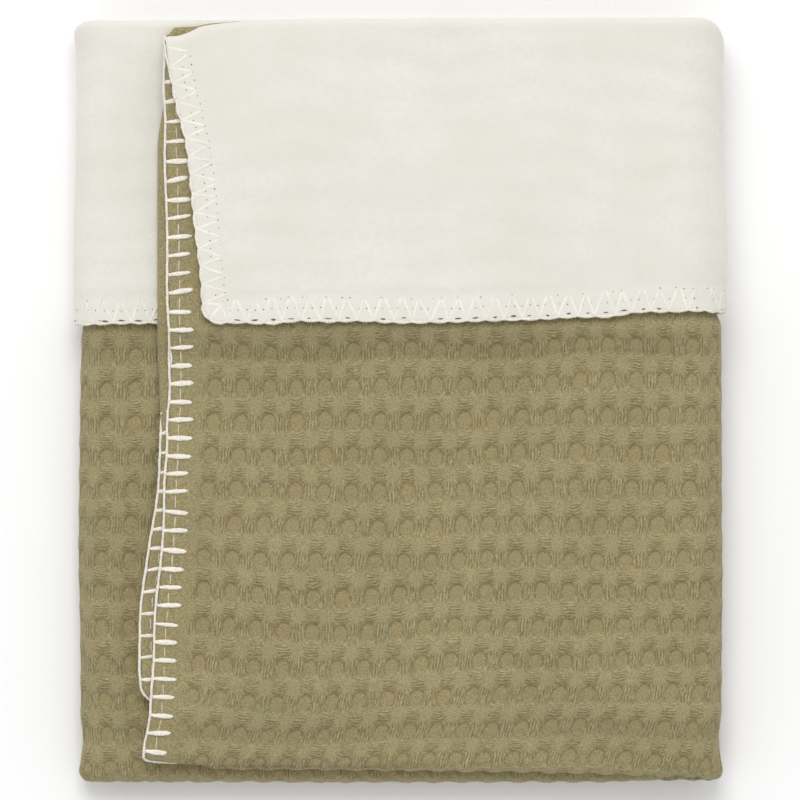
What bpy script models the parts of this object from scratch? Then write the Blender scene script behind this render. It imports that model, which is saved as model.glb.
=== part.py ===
"""A crib blanket of two cloths sewn together round the rim: a waffle weave face and a brushed lining.

It lies folded twice. The first fold is along its length, up and down, into a packet of plies, counted here
from the packet's inner side:

    under   the third part of the length, face inwards
    tucked  the free end, turned back on the under ply, face outwards
    top     the part that shows, face outwards
    band    the other end, turned down over the top ply, lining outwards

The second fold wraps that packet across its width round itself: a front flap on top, round the right fold to
the back, which lies on the ground, and round the left fold to an inner flap between the two. Travel counts
along this wrap: 0 to 1 is the front flap from its free edge, 1 to 2 the right fold, 2 to 3 the back, 3 to 4
the left fold and 4 to 5 the inner flap.

Metres, +Z up. X runs across the wrap, Y along the blanket's length towards the band. The ground is Z = 0.
"""

import math
from collections import namedtuple

import bmesh
import bpy
import numpy as np

MM = 0.001

# The cloths, and the air between surfaces that lie on each other.
FACE_THICKNESS = 1.6 * MM
LINING_THICKNESS = 1.2 * MM
GAP = 0.3 * MM
PLY_PITCH = FACE_THICKNESS + GAP + LINING_THICKNESS + GAP
PACKET = 3 * PLY_PITCH - GAP  # under, tucked and top ply

# The inside of the two side folds: how far the packet's inner surface bulges past the end of the flat part.
RIGHT_BULGE = 5.4 * MM
LEFT_BULGE = 0.4 * MM

# The top ply settles this much towards the under ply past the end of the tucked one.
SAG = 1.0 * MM

# Rounded corners of the folded blanket, at the ends of the side folds: how far each is drawn in, and how late
# in the turn that happens.
Corner = namedtuple("Corner", "top bottom lateness")
RIGHT_CORNER = Corner(8.0 * MM, 2.5 * MM, 8)
LEFT_CORNER = Corner(3.0 * MM, 2.5 * MM, 4)

# Facets in a half turn.
PLY_FOLD_STEPS = 4
BOTTOM_FOLD_STEPS = 6
RIGHT_FOLD_STEPS = 8
LEFT_FOLD_STEPS = 6

FACE_COLOUR = (0.33, 0.28, 0.15, 1.0)
LINING_COLOUR = (0.84, 0.82, 0.76, 1.0)
CLOTH_ROUGHNESS = 0.95

# Which place each ply has in the packet, and whether its face looks out of the packet (1) or into it (-1).
Ply = namedtuple("Ply", "place face_side")
PLIES = {
    "under": Ply(0, -1),
    "tucked": Ply(1, 1),
    "top": Ply(2, 1),
    "band": Ply(3, -1),
}

# Lines across the folded blanket, in millimetres, from its top down: the left and right fold of the top ply,
# the free edge of each ply on the front flap, how much of the band's thickness lifts the plies there, and how
# much of the sag is reached.
Line = namedtuple("Line", "y left right band top tucked under lift sag")
LINES = (
    Line(150.0, -123.1, 122.6, -92.5, -92.4, -94.1, -93.7, 1.0, 0.0),
    Line(131.0, -123.3, 122.6, -90.5, -92.0, -94.5, -92.5, 1.0, 0.0),
    Line(98.0, -123.5, 122.6, -83.4, -91.5, -95.1, -90.5, 1.0, 0.0),
    Line(59.0, -124.4, 124.4, -79.1, -90.8, -95.2, -88.5, 1.0, 0.0),
    Line(29.6, -124.0, 123.4, -76.9, -90.3, -95.2, -87.5, 1.0, 0.0),
    Line(22.0, -124.7, 124.4, -76.9, -90.1, -95.1, -87.5, 0.5, 0.0),
    Line(14.0, -125.1, 125.1, -76.9, -89.9, -95.0, -87.5, 0.0, 0.0),
    Line(-20.0, -125.5, 125.6, -76.9, -91.2, -94.5, -87.5, 0.0, 0.0),
    Line(-60.0, -125.9, 125.8, -76.9, -93.1, -98.5, -87.5, 0.0, 0.0),
    Line(-90.0, -125.3, 125.5, -76.9, -95.9, -101.9, -87.5, 0.0, 0.0),
    Line(-112.0, -125.0, 125.3, -76.9, -96.7, -101.3, -87.5, 0.0, 0.0),
    Line(-121.0, -125.0, 125.3, -76.9, -97.3, -99.0, -87.5, 0.0, 0.0),
    Line(-136.0, -124.9, 125.2, -76.9, -99.8, -99.0, -87.5, 0.0, 1.0),
    Line(-150.0, -124.7, 125.1, -76.9, -100.5, -99.0, -87.5, 0.0, 1.0),
)

# Where the inner flap's plies end, in millimetres.
INNER_EDGES = {"band": 92.0, "top": 97.0, "tucked": 101.0, "under": 104.0}

# Sections along the wrap, in millimetres: the band's hem, the fold of band and top ply, the fold of tucked
# and under ply, the bottom fold and the tucked ply's end.
Section = namedtuple("Section", "travel hem outer_top inner_top bottom tucked_end")
SECTIONS = (
    Section(0.00, 36.0, 143.4, 148.6, -142.6, -114.5),
    Section(0.03, 31.6, 144.8, 148.8, -143.2, -118.0),
    Section(0.08, 30.1, 147.3, 149.0, -144.9, -119.5),
    Section(0.30, 31.0, 149.6, 149.2, -145.1, -120.0),
    Section(0.65, 31.2, 149.7, 149.2, -145.6, -120.0),
    Section(1.00, 34.9, 149.8, 149.2, -147.0, -120.0),
    Section(2.00, 33.0, 149.8, 149.2, -149.6, -120.0),
    Section(2.50, 32.0, 149.8, 149.2, -149.8, -120.0),
    Section(3.00, 31.0, 149.6, 149.2, -149.6, -120.0),
    Section(4.00, 29.9, 149.5, 149.2, -149.0, -120.0),
    Section(4.50, 31.0, 149.5, 149.2, -149.6, -120.0),
    Section(5.00, 31.0, 149.5, 149.2, -149.4, -120.0),
)

# A point of the line midway between the two cloths: its place in the packet, the direction of the face cloth
# from there, and which plies it lies between, turn being 0 on the first and 1 on the second.
Point = namedtuple("Point", "y height face_y face_height ply next_ply turn")


def at_line(column, y):
    """A column of LINES at this height, in metres or as a share."""
    rows = LINES[::-1]
    value = np.interp(y, [row.y * MM for row in rows], [getattr(row, column) for row in rows])
    return value if column in ("lift", "sag") else value * MM


def at_section(column, travel):
    """A column of SECTIONS at this travel, in metres."""
    values = [getattr(row, column) for row in SECTIONS]
    return MM * np.interp(travel, [row.travel for row in SECTIONS], values)


def level(name, y):
    """The height, in the packet, of the middle of a ply."""
    ply = PLIES[name]
    below = LINING_THICKNESS if ply.face_side > 0 else FACE_THICKNESS
    settled = SAG * at_line("sag", y) if name == "top" else 0.0
    return ply.place * PLY_PITCH + below + GAP / 2 - settled


def packet_thickness(y):
    return PACKET + PLY_PITCH * at_line("lift", y) - SAG * at_line("sag", y)


def straight(name, start, end):
    """The points of a ply from one height to another, with one on each line that it crosses."""
    between = [row.y * MM for row in LINES if min(start, end) < row.y * MM < max(start, end)]
    heights = [start, *sorted(between, reverse=bool(start > end)), end]
    side = PLIES[name].face_side
    return [Point(y, level(name, y), 0.0, side, name, name, 0.0) for y in heights]


def fold(name, next_name, end, steps):
    """The points between two plies where they turn, the outside of the turn just reaching this height."""
    upwards = math.copysign(1, end)
    first, last = level(name, end), level(next_name, end)
    middle, radius = (first + last) / 2, abs(first - last) / 2
    outwards = math.copysign(1, first - middle)
    face_outside = PLIES[name].face_side == outwards
    outside = GAP / 2 + (FACE_THICKNESS if face_outside else LINING_THICKNESS)
    centre = end - upwards * (radius + outside)
    side = 1 if face_outside else -1
    points = []
    for step in range(1, steps):
        angle = math.pi * step / steps
        along, across = upwards * math.sin(angle), outwards * math.cos(angle)
        y, height = centre + radius * along, middle + radius * across
        points.append(Point(y, height, side * along, side * across, name, next_name, step / steps))
    return centre, points


def corner_drops(travel):
    """How far the top and bottom folds are drawn in, where the packet rounds a side fold."""
    part, share = divmod(travel, 1)
    if part not in (1, 3):
        return 0.0, 0.0
    corner = RIGHT_CORNER if part == 1 else LEFT_CORNER
    drawn_in = math.sin(math.pi * share) ** corner.lateness
    return corner.top * drawn_in, corner.bottom * drawn_in


def packet_line(travel):
    """The packet's plies and folds as one line, from the band's hem to the tucked end."""
    top_drop, bottom_drop = corner_drops(travel)
    outer_top = at_section("outer_top", travel) - top_drop
    inner_top = at_section("inner_top", travel) - top_drop
    bottom = at_section("bottom", travel) + bottom_drop
    outer_centre, outer_fold = fold("band", "top", outer_top, PLY_FOLD_STEPS)
    bottom_centre, bottom_fold = fold("top", "under", bottom, BOTTOM_FOLD_STEPS)
    inner_centre, inner_fold = fold("under", "tucked", inner_top, PLY_FOLD_STEPS)
    return [
        *straight("band", at_section("hem", travel), outer_centre),
        *outer_fold,
        *straight("top", outer_centre, bottom_centre),
        *bottom_fold,
        *straight("under", bottom_centre, inner_centre),
        *inner_fold,
        *straight("tucked", inner_centre, at_section("tucked_end", travel)),
    ]


def free_edge(point, y):
    """Where the front flap ends at this point of the packet."""
    return (1 - point.turn) * at_line(point.ply, y) + point.turn * at_line(point.next_ply, y)


def inner_edge(point):
    first, last = INNER_EDGES[point.ply], INNER_EDGES[point.next_ply]
    return MM * ((1 - point.turn) * first + point.turn * last)


def wrapped(travel, point, y, height):
    """Where a place in the packet lies once the packet is wrapped round itself."""
    part = min(int(travel), 4)
    share = travel - part
    packet = packet_thickness(y)
    right = at_line("right", y) - RIGHT_BULGE - PACKET
    left = at_line("left", y) + LEFT_BULGE + PACKET
    turn = math.pi * share
    if part == 0:
        edge = free_edge(point, y)
        return edge + (right - edge) * share, y, 2 * packet + 2 * GAP + height
    if part == 1:
        middle, half = 1.5 * packet + GAP, packet / 2 + GAP
        across = right + (RIGHT_BULGE + height) * math.sin(turn)
        return across, y, middle + (half + height) * math.cos(turn)
    if part == 2:
        return right + (left - right) * share, y, packet - height
    if part == 3:
        across = left - (LEFT_BULGE + height) * math.sin(turn)
        return across, y, packet + GAP / 2 - (GAP / 2 + height) * math.cos(turn)
    return left + (inner_edge(point) - left) * share, y, packet + GAP + height


def travels():
    """The stations along the wrap: the sections on its flat parts, and even steps round its folds."""
    flat = {row.travel for row in SECTIONS}
    right = {1 + step / RIGHT_FOLD_STEPS for step in range(RIGHT_FOLD_STEPS + 1)}
    left = {3 + step / LEFT_FOLD_STEPS for step in range(LEFT_FOLD_STEPS + 1)}
    return sorted(flat | right | left)


def cloth_ring(travel, inner, outer):
    """The outline of one cloth's folded section: along one surface and back along the other."""
    line = packet_line(travel)
    rings = []
    for offset in (inner, outer):
        side = []
        for point in line:
            y = point.y + point.face_y * offset
            side.append(wrapped(travel, point, y, point.height + point.face_height * offset))
        rings.append(side)
    return rings[0] + rings[1][::-1]


def loft(mesh, rings):
    """A closed solid through the rings, its two ends filled with strips across the cloth's thickness."""
    solid = bmesh.new()
    rows = [[solid.verts.new(place) for place in ring] for ring in rings]
    count = len(rings[0])
    for row, following in zip(rows, rows[1:]):
        for i in range(count):
            j = (i + 1) % count
            solid.faces.new((row[i], row[j], following[j], following[i]))
    for row in (rows[0], rows[-1]):
        for i in range(count // 2 - 1):
            solid.faces.new((row[i], row[i + 1], row[count - 2 - i], row[count - 1 - i]))
    bmesh.ops.recalc_face_normals(solid, faces=solid.faces)
    solid.to_mesh(mesh)
    solid.free()


def cloth_material(name, colour):
    material = bpy.data.materials.new(name)
    material.use_nodes = True
    shader = material.node_tree.nodes["Principled BSDF"]
    shader.inputs["Base Color"].default_value = colour
    shader.inputs["Roughness"].default_value = CLOTH_ROUGHNESS
    shader.inputs["Metallic"].default_value = 0.0
    return material


def folded_cloth(collection, name, inner, outer, colour):
    """One cloth of the blanket, its surfaces at these distances from the line between the cloths."""
    mesh = bpy.data.meshes.new(name)
    loft(mesh, [cloth_ring(travel, inner, outer) for travel in travels()])
    mesh.materials.append(cloth_material(name, colour))
    cloth = bpy.data.objects.new(name, mesh)
    collection.objects.link(cloth)
    return cloth


def clear_scene():
    for item in list(bpy.data.objects):
        bpy.data.objects.remove(item, do_unlink=True)


def build():
    clear_scene()
    blanket = bpy.data.collections.new("waffle_blanket")
    bpy.context.scene.collection.children.link(blanket)
    folded_cloth(blanket, "waffle_face", GAP / 2, GAP / 2 + FACE_THICKNESS, FACE_COLOUR)
    folded_cloth(blanket, "lining", -GAP / 2 - LINING_THICKNESS, -GAP / 2, LINING_COLOUR)


build()
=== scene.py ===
import math

import bpy
import numpy as np
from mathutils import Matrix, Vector


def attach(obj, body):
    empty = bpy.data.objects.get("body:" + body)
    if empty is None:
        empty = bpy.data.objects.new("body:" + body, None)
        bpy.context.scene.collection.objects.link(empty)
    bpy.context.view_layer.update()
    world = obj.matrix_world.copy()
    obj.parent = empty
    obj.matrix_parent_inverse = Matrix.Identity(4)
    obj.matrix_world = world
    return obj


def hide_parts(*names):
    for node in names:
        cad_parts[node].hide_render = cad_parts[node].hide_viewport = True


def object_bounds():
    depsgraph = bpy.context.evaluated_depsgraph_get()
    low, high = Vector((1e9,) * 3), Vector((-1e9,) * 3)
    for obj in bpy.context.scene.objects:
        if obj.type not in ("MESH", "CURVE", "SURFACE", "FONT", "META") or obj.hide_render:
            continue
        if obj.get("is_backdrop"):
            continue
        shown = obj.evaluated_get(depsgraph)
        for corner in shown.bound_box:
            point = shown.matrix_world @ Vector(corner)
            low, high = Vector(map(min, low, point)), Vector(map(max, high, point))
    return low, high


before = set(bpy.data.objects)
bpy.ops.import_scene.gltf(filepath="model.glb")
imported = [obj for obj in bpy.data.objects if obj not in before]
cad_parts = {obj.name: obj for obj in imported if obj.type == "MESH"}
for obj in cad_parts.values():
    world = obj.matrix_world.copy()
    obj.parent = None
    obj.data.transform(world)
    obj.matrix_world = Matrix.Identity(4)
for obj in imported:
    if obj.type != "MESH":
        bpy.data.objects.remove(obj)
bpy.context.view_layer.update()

# --------------------
# Waffle face cloth.
# One rectangle of olive cotton, 75 by 100 cm, woven in waffle cells and sewn to the lining round its rim.
# It is folded up and down into a packet of plies, and that packet is wrapped across its width round itself.
# --------------------

MM = 0.001
FACE_THICKNESS = 1.6 * MM
LINING_THICKNESS = 1.2 * MM
GAP = 0.3 * MM
PLY_PITCH = FACE_THICKNESS + GAP + LINING_THICKNESS + GAP
PACKET = 3 * PLY_PITCH - GAP
RIGHT_BULGE = 5.4 * MM
LEFT_BULGE = 0.4 * MM
SAG = 1.0 * MM
# How far the folded blanket's corners are drawn in at the top and at the bottom, and how late in the turn.
RIGHT_CORNER = (6.8 * MM, 0.3 * MM, 8)
LEFT_CORNER = (1.6 * MM, 0.3 * MM, 4)
CORNER_RADIUS = 6.5 * MM  # of the cut

# Lines across the folded blanket, in millimetres, from the bottom up: its left and right fold, the free edge
# of each ply on the front flap, the lift that the band's thickness gives, and the share of the sag.
LINES = {
    "y": (-150.0, -136.0, -121.0, -112.0, -90.0, -60.0, -20.0,
          14.0, 22.0, 29.6, 35.0, 59.0, 98.0, 131.0, 150.0),
    "left": (-128.4, -125.9, -125.7, -125.7, -126.0, -126.5, -126.1,
             -125.6, -125.3, -124.8, -124.9, -125.2, -124.2, -124.0, -125.4),
    "right": (129.2, 126.9, 126.6, 126.6, 126.8, 127.1, 126.9,
              126.8, 126.6, 126.2, 124.5, 125.4, 123.7, 123.9, 125.0),
    "band": (-76.9, -76.9, -76.9, -76.9, -76.9, -76.9, -76.9,
             -76.9, -76.9, -76.9, -77.1, -79.1, -83.4, -90.5, -92.5),
    "top": (-100.5, -99.8, -97.3, -96.7, -95.9, -93.1, -91.2,
            -89.9, -90.1, -90.3, -90.4, -90.8, -91.5, -92.0, -92.4),
    "tucked": (-99.0, -99.0, -99.0, -101.3, -101.9, -98.2, -93.6,
               -95.0, -95.1, -95.2, -95.2, -95.2, -95.1, -90.8, -93.4),
    "under": (-87.5, -87.5, -87.5, -87.5, -87.5, -87.5, -87.5,
              -87.5, -87.5, -87.5, -87.6, -88.5, -89.5, -90.6, -93.7),
    "lift": (0.0, 0.0, 0.0, 0.0, 0.0, 0.0, 0.0, 0.0, 0.5, 1.0, 1.0, 1.0, 1.0, 1.0, 1.0),
    "sag": (1.0, 1.0, 0.0, 0.0, 0.0, 0.0, 0.0, 0.0, 0.0, 0.0, 0.0, 0.0, 0.0, 0.0, 0.0),
}
INNER_EDGES = {"band": 99.0 * MM, "top": 106.0 * MM, "tucked": 99.0 * MM, "under": 99.0 * MM}

# Along the wrap: 0 to 1 is the front flap from its free edge, 1 to 2 the right fold, 2 to 3 the back, 3 to 4
# the left fold and 4 to 5 the inner flap. Millimetres: the hem of the turned-down band, and the folds.
HEM = ((0.0, 30.2), (0.08, 30.1), (0.205, 31.0), (0.48, 30.5), (0.66, 31.8), (0.84, 32.9), (0.9, 34.1),
       (0.97, 34.9), (1.5, 34.6), (2.0, 33.0), (3.0, 31.0), (4.0, 29.9), (4.15, 30.8), (5.0, 31.0))
OUTER_TOP = ((0.0, 142.4), (0.022, 142.6), (0.05, 144.4), (0.07, 146.3), (0.1, 147.4), (0.155, 148.6), (0.3, 149.6),
             (0.65, 149.7), (1.0, 149.8), (2.5, 149.8), (3.0, 149.6), (4.0, 149.5), (5.0, 149.5))
INNER_TOP = ((0.0, 143.5), (0.012, 143.8), (0.02, 146.2), (0.05, 146.5), (0.1, 147.9), (0.155, 148.5), (0.3, 149.2),
             (5.0, 149.2))
BOTTOM = ((0.0, -142.6), (0.03, -143.2), (0.066, -143.7), (0.078, -142.4), (0.092, -144.8), (0.3, -145.1),
          (0.65, -145.8), (1.0, -147.6), (2.0, -150.2), (2.5, -150.5), (3.0, -150.3), (4.0, -149.8),
          (4.5, -150.3), (5.0, -150.1))
TUCKED_END = ((0.0, -120.0), (5.0, -120.0))

# The plies in the order of the cloth's length, with the place of each in the packet and whether its face
# looks out of the packet (1) or into it (-1). Rows count along this path: 0 is the hem, 1 to 2 the fold
# between band and top ply, and so on to 7, the tucked ply's end.
PLIES = {"under": (0, -1), "tucked": (1, 1), "top": (2, 1), "band": (3, -1)}
PATH = (("band", "band"), ("band", "top"), ("top", "top"), ("top", "under"), ("under", "under"),
        ("under", "tucked"), ("tucked", "tucked"))
RIGHT_ARC = 47.8 * MM  # the outermost ply's way round each side fold
LEFT_ARC = 32.4 * MM
# Where the tucked ply's free edge rolls down, in millimetres up the blanket.
ROLLED_FROM, ROLLED_TO, ROLL_RADIUS = -14, 128, 3.6 * MM


def eased(at, places, values):
    """A smooth curve through a table, with no overshoot."""
    at, places, values = (np.asarray(a, float) for a in (at, places, values))
    step = np.diff(places)
    rise = np.diff(values) / step
    slope = np.concatenate([rise[:1], np.zeros(len(rise) - 1), rise[-1:]])
    same = rise[:-1] * rise[1:] > 0
    near, far = 2 * step[1:] + step[:-1], step[1:] + 2 * step[:-1]
    slope[1:-1][same] = (near + far)[same] / (near[same] / rise[:-1][same] + far[same] / rise[1:][same])
    i = np.clip(np.searchsorted(places, at) - 1, 0, len(step) - 1)
    u = np.clip((at - places[i]) / step[i], 0, 1)
    hold = values[i] * (1 + 2 * u) * (1 - u) ** 2 + values[i + 1] * u * u * (3 - 2 * u)
    return hold + step[i] * u * (1 - u) * (slope[i] * (1 - u) - slope[i + 1] * u)


def smooth(value):
    value = np.clip(value, 0, 1)
    return value * value * (3 - 2 * value)


def at_line(column, y):
    value = eased(np.asarray(y) / MM, LINES["y"], LINES[column])
    return value if column in ("lift", "sag") else value * MM


def at_travel(table, travel):
    return MM * eased(travel, *zip(*table))


def level(name, y):
    """The height in the packet of the middle of a ply."""
    place, face_side = PLIES[name]
    below = LINING_THICKNESS if face_side > 0 else FACE_THICKNESS
    settled = SAG * at_line("sag", y) if name == "top" else 0.0
    return place * PLY_PITCH + below + GAP / 2 - settled


def packet_thickness(y):
    return PACKET + PLY_PITCH * at_line("lift", y) - SAG * at_line("sag", y)


def flat_ends(y):
    """Where the flat part of the wrap meets the right and the left fold."""
    return at_line("right", y) - RIGHT_BULGE - PACKET, at_line("left", y) + LEFT_BULGE + PACKET


def swell(x, y):
    """The front flap lies a little unevenly, in long soft waves."""
    x, y = x / MM, y / MM
    wave = np.sin(x / 31 + y / 47 + 0.6) + 0.8 * np.sin(x / 19 - y / 26 + 2.1) + 0.7 * np.sin(y / 13 + x / 60)
    return 0.28 * MM * (wave + 2.2)


class Fold:
    """The turn between two plies, its outside just reaching this height."""

    def __init__(self, name, next_name, end):
        self.up = np.sign(end)
        first, last = level(name, end), level(next_name, end)
        self.middle, self.radius = (first + last) / 2, np.abs(first - last) / 2
        self.out = np.sign(first - self.middle)
        face_outside = PLIES[name][1] == self.out.flat[0]
        self.side = 1 if face_outside else -1
        outside = GAP / 2 + (FACE_THICKNESS if face_outside else LINING_THICKNESS)
        self.centre = end - self.up * (self.radius + outside)
        self.length = math.pi * (self.radius + self.side * (GAP / 2 + FACE_THICKNESS))


class Line:
    """The line midway between the two cloths, wherever a travel and a row meet."""

    def __init__(self, travel, row):
        self.travel, self.row = np.asarray(travel, float)[:, None], np.asarray(row, float)
        t = self.travel
        self.part = np.minimum(t.astype(int), 4)
        self.parts = [self.part == k for k in range(4)]
        self.share = t - self.part
        turned = np.sin(math.pi * self.share)
        drawn_in = [
            np.where(self.part == 1, RIGHT_CORNER[k] * turned ** RIGHT_CORNER[2], 0)
            + np.where(self.part == 3, LEFT_CORNER[k] * turned ** LEFT_CORNER[2], 0)
            for k in (0, 1)
        ]
        outer = Fold("band", "top", at_travel(OUTER_TOP, t) - drawn_in[0])
        bottom = Fold("top", "under", at_travel(BOTTOM, t) + drawn_in[1])
        inner = Fold("under", "tucked", at_travel(INNER_TOP, t) - drawn_in[0])
        turns = {1: outer, 3: bottom, 5: inner}
        stops = [at_travel(HEM, t), outer.centre, outer.centre, bottom.centre, bottom.centre,
                 inner.centre, inner.centre, at_travel(TUCKED_END, t)]
        lengths = [0 * t + turns[k].length if k in turns else np.abs(stops[k + 1] - stops[k]) for k in range(7)]
        before = np.cumsum([np.zeros_like(t), *lengths], axis=0)
        self.total = before[7]
        shape = (len(t), len(self.row))
        self.y, self.height, self.face_y, self.face_height = np.zeros((4, *shape))
        # The front flap's free edge, with and without the cut's rounded corners; the inner flap's; and the
        # distance from the hem along the cloth.
        self.edge, self.plain_edge, self.inner_edge, self.run = np.zeros((4, *shape))
        legs = np.minimum(self.row.astype(int), 6)
        for k, (name, next_name) in enumerate(PATH):
            leg = legs == k
            part = (self.row[leg] - k)[None, :]
            if k in turns:
                # At the bottom the free edge steps in to the ply beneath halfway round the fold.
                turn, angle = turns[k], math.pi * part
                mix = smooth((part - 0.2) / 0.36) if k == 3 else part
                along, across = turn.up * np.sin(angle), turn.out * np.cos(angle)
                y, height = turn.centre + turn.radius * along, turn.middle + turn.radius * across
                face_y, face_height = turn.side * along, turn.side * across
            else:
                mix = 0 * part
                y = stops[k] + (stops[k + 1] - stops[k]) * part
                height, face_y, face_height = level(name, y), 0, PLIES[name][1]
            plain = (1 - mix) * at_line(name, y) + mix * at_line(next_name, y)
            past = {0: y - stops[0], 6: y - stops[7]}.get(k, CORNER_RADIUS)
            short = CORNER_RADIUS - np.clip(past, 0, CORNER_RADIUS)
            self.y[:, leg], self.height[:, leg] = y, height
            self.face_y[:, leg], self.face_height[:, leg] = face_y, face_height
            self.plain_edge[:, leg] = plain
            self.edge[:, leg] = plain + CORNER_RADIUS - np.sqrt(CORNER_RADIUS**2 - short**2)
            self.inner_edge[:, leg] = (1 - mix) * INNER_EDGES[name] + mix * INNER_EDGES[next_name]
            self.run[:, leg] = before[k] + lengths[k] * part
        right, left = flat_ends(self.y)
        wide = right - left
        # Distances along the cloth: across is x on the front flap and runs on round the folds, and along is
        # y on the top ply and runs on round its folds.
        back = right + RIGHT_ARC
        self.across = np.select(self.parts, [
            self.edge + (right - self.edge) * self.share,
            right + RIGHT_ARC * self.share,
            back + wide * self.share,
            back + wide + LEFT_ARC * self.share,
        ], back + wide + LEFT_ARC + (self.inner_edge - left) * self.share)
        self.along = outer.centre + before[2] - self.run
        side = np.where(self.part == 0, self.across - self.plain_edge, 1.0)
        side = np.where(self.part == 4, (self.inner_edge - left) * (1 - self.share), side)
        end = np.minimum(self.run, self.total - self.run)
        near = (np.maximum(side, end) < CORNER_RADIUS) & (self.part == 0)
        corner = CORNER_RADIUS - np.hypot(CORNER_RADIUS - side, CORNER_RADIUS - end)
        # The distance from the stitched rim.
        self.rim = np.maximum(np.where(near, corner, np.minimum(side, end)), 0)

    def place(self, offset):
        """The points at this distance from the line, towards the face cloth."""
        y = self.y + self.face_y * offset
        height = self.height + self.face_height * offset - self.curl(y)
        packet = packet_thickness(y)
        right, left = flat_ends(y)
        share, turn = self.share, math.pi * self.share
        middle, half = 1.5 * packet + GAP, packet / 2 + GAP
        flat_x = self.edge + (right - self.edge) * share
        x = np.select(self.parts, [
            flat_x,
            right + (RIGHT_BULGE + height) * np.sin(turn),
            right + (left - right) * share,
            left - (LEFT_BULGE + height) * np.sin(turn),
        ], left + (self.inner_edge - left) * share)
        z = np.select(self.parts, [
            2 * packet + 2 * GAP + height + swell(flat_x, y) * smooth(4 - 4 * share),
            middle + (half + height) * np.cos(turn),
            packet - height,
            packet + GAP / 2 - (GAP / 2 + height) * np.cos(turn),
        ], packet + GAP + height)
        return np.stack([x, y, np.maximum(z, 0)], axis=-1)

    def curl(self, y):
        """The tucked ply's free edge rolls down over most of its length."""
        rolled = smooth((y / MM - ROLLED_FROM) / 16) * smooth((ROLLED_TO - y / MM) / 16)
        rolled = rolled * np.clip(self.row - 5, 0, 1) * (self.part == 0)
        inwards = np.clip(self.across - self.edge, 0, ROLL_RADIUS)
        return 0.95 * rolled * (ROLL_RADIUS - np.sqrt(ROLL_RADIUS**2 - (ROLL_RADIUS - inwards) ** 2))


# Waffle cells: 11 mm across and 13.5 mm up. A pit lies at whole numbers of the cell coordinates, and a raised
# pad half a cell away from it both ways, with floats of yarn from pad to pad round each pit.
CELL = (11.06 * MM, 13.53 * MM)
FIRST_PIT = (-72.9 * MM, 17.4 * MM)
# How the rows of cells rise to the right, by how far up the cloth they lie.
ROW_TILT = ((-150, 10.0), (-120, 8.0), (-88, 1.0), (-63, 5.0), (-20, 17.0), (0, 21.0), (60, 22.0))
# How far the columns of cells have drifted to the left, going down the cloth, in millimetres.
DRIFT = ((-420, 42.0), (-300, 36.0), (-200, 29.0), (-150, 17.8), (-142, 15.7), (-129, 12.0), (-116, 8.8),
         (-105, 6.9), (-89, 5.4), (-74, 4.4), (-60, 3.5), (-47, 2.3), (-20, 1.3), (18.4, 0.0), (60, -1.8),
         (150, -5.8), (300, -12.0))
TILT_REACH = 240 * MM  # past which the rows rise no more
# The strip of the back that shows at the left, which lies straighter: the number of its first column of pits,
# counted round the wrap, its rows' spacing and first pit in millimetres, and where that column runs down it.
STRIP_NUMBER, STRIP_PITCH, STRIP_PIT = 45, 13.40, 17.25
STRIP_COLUMN = ((-300, -104.0), (-150, -103.0), (-130, -104.4), (-105, -105.6), (-76, -106.2), (-50, -106.0),
                (-22, -104.8), (17, -103.2), (60, -102.6), (300, -102.0))


def settled(line):
    """How far the rows of cells lie below their straight lines. They rise towards the free edge, and the low
    ones step up across the middle, sink again by the right fold and crowd together at the bottom fold."""
    x, y = line.across / MM, line.along / MM
    on_flap = 1 - smooth(line.travel - 2)
    middle = smooth((x + 25) / 80)
    left = 1.1 * (1 - middle) * smooth((-88 - y) / 12)
    right = -1.8 * middle * smooth((-60 - y) / 14) * on_flap + 1.8 * smooth((x - 55) / 70) * smooth((-92 - y) / 40)
    bottom = -2.0 * (1 - smooth((x - 60) / 40)) * smooth((-128 - y) / 14)
    edge = -2.0 * smooth((50 - (line.across - line.plain_edge) / MM) / 38)
    return (left + right + bottom + edge) * MM


def cells(line):
    """The waffle cell coordinates of the cloth."""
    s, t = line.across, line.along
    x, y = s / MM, t / MM
    u = (s + at_travel(DRIFT, y) - FIRST_PIT[0]) / CELL[0]
    tilt = at_travel(ROW_TILT, y)
    v = (t - FIRST_PIT[1] + settled(line) - tilt * np.minimum(s - FIRST_PIT[0], TILT_REACH)) / CELL[1]
    # By the left strip the cells have shifted to where they show there.
    right, left = flat_ends(line.y)
    strip_s = at_travel(STRIP_COLUMN, y) + 2 * (right - left) + RIGHT_ARC + LEFT_ARC
    strip_u = (strip_s + at_travel(DRIFT, y) - FIRST_PIT[0]) / CELL[0]
    strip_v = np.clip(y, -150, 30) * (1 / STRIP_PITCH - MM / CELL[1])
    strip_v += FIRST_PIT[1] / CELL[1] - STRIP_PIT / STRIP_PITCH
    shifted = smooth(line.travel - 2)
    u = u + shifted * (STRIP_NUMBER - strip_u)
    v = v + shifted * (strip_v + TILT_REACH * tilt / CELL[1] - 1)
    u = u + 0.05 * np.sin(x / 23 + y / 17 + 1.3) + 0.03 * np.sin(x / 9 - y / 12)
    return u, v + 0.04 * np.sin(x / 15 - y / 27) + 0.03 * np.sin(x / 11 + y / 8 + 2.0)


# No cells form this near the rim, and the band presses them flatter from this far up; both in millimetres.
PLAIN_RIM, PRESSED_FROM = 9.5, 27


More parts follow.
